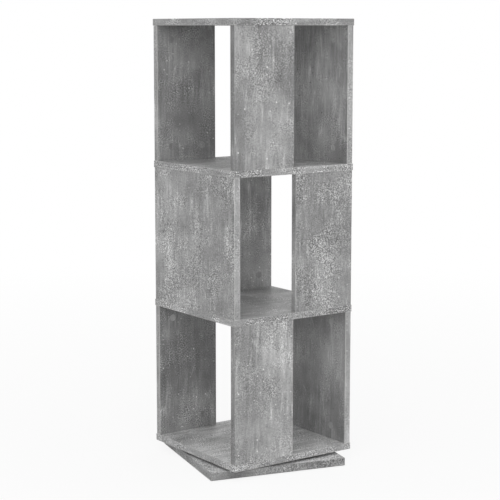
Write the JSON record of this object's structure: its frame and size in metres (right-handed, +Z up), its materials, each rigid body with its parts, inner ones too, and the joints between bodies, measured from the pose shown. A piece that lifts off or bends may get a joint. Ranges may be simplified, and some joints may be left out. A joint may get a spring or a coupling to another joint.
{
  "type": "rotary filing cabinet",
  "caption": "Turning file tower of grey concrete-look boards, with stacked tiers open on alternate sides, on a square base with a flat ball-bearing turntable.",
  "frame": {"origin": "on the floor under the turning axis, at the centre of the base", "axes": "+Z up along the turning axis, -Y towards the front, +X to the right"},
  "size_m": [0.42, 0.42, 1.08],
  "materials": {
    "concrete_melamine": "chipboard coated with matt grey concrete-look melamine",
    "concrete_edging": "melamine edging strip in the same grey, a little paler",
    "glide_plastic": "moulded nylon glide",
    "cast_zinc": "die-cast zinc, satin",
    "zinc_plated_steel": "zinc-plated steel",
    "beech": "turned beech, fluted dowel",
    "cap_foil": "self-adhesive foil disc printed like the boards",
    "galvanised_steel": "pressed galvanised steel sheet",
    "bearing_steel": "hardened bearing steel balls",
    "cage_plastic": "moulded nylon cage"
  },
  "bodies": {
    "base": {"base_plate": "concrete_melamine", "base_plate_edging": "concrete_edging", "base_glide_front_left": "glide_plastic", "base_glide_front_right": "glide_plastic", "base_glide_back_left": "glide_plastic", "base_glide_back_right": "glide_plastic", "turntable_lower_plate": "galvanised_steel", "turntable_centre_ring": "galvanised_steel", "turntable_base_screws": "zinc_plated_steel"},
    "ball_ring": {"turntable_balls": "bearing_steel", "turntable_ball_cage": "cage_plastic"},
    "tower": {"bottom_back_panel": "concrete_melamine", "bottom_back_panel_edging": "concrete_edging", "bottom_board": "concrete_melamine", "bottom_board_edging": "concrete_edging", "bottom_front_panel": "concrete_melamine", "bottom_front_panel_edging": "concrete_edging", "bottom_full_panel": "concrete_melamine", "bottom_full_panel_edging": "concrete_edging", "bottom_tier_cam_bolts": "zinc_plated_steel", "bottom_tier_cam_caps": "cap_foil", "bottom_tier_cam_locks": "cast_zinc", "bottom_tier_dowels": "beech", "lower_shelf": "concrete_melamine", "lower_shelf_edging": "concrete_edging", "middle_back_panel": "concrete_melamine", "middle_back_panel_edging": "concrete_edging", "middle_front_panel": "concrete_melamine", "middle_front_panel_edging": "concrete_edging", "middle_full_panel": "concrete_melamine", "middle_full_panel_edging": "concrete_edging", "middle_tier_cam_bolts": "zinc_plated_steel", "middle_tier_cam_caps": "cap_foil", "middle_tier_cam_locks": "cast_zinc", "middle_tier_dowels": "beech", "top_back_panel": "concrete_melamine", "top_back_panel_edging": "concrete_edging", "top_board": "concrete_melamine", "top_board_edging": "concrete_edging", "top_front_panel": "concrete_melamine", "top_front_panel_edging": "concrete_edging", "top_full_panel": "concrete_melamine", "top_full_panel_edging": "concrete_edging", "top_tier_cam_bolts": "zinc_plated_steel", "top_tier_cam_caps": "cap_foil", "top_tier_cam_locks": "cast_zinc", "top_tier_dowels": "beech", "turntable_tower_screws": "zinc_plated_steel", "turntable_upper_plate": "galvanised_steel", "upper_shelf": "concrete_melamine", "upper_shelf_edging": "concrete_edging"}
  },
  "joints": [
    {"name": "tower_spin", "type": "hinge", "parent": "base", "child": "tower", "pos_m": [0, 0, 0.0225], "axis": [0, 0, 1], "continuous": true},
    {"name": "ball_ring_spin", "type": "hinge", "parent": "base", "child": "ball_ring", "pos_m": [0, 0, 0.0225], "axis": [0, 0, 1], "continuous": true}
  ],
  "couplings": [
    {"joint": "ball_ring_spin", "follows": "tower_spin", "ratio": 0.5}
  ]
}
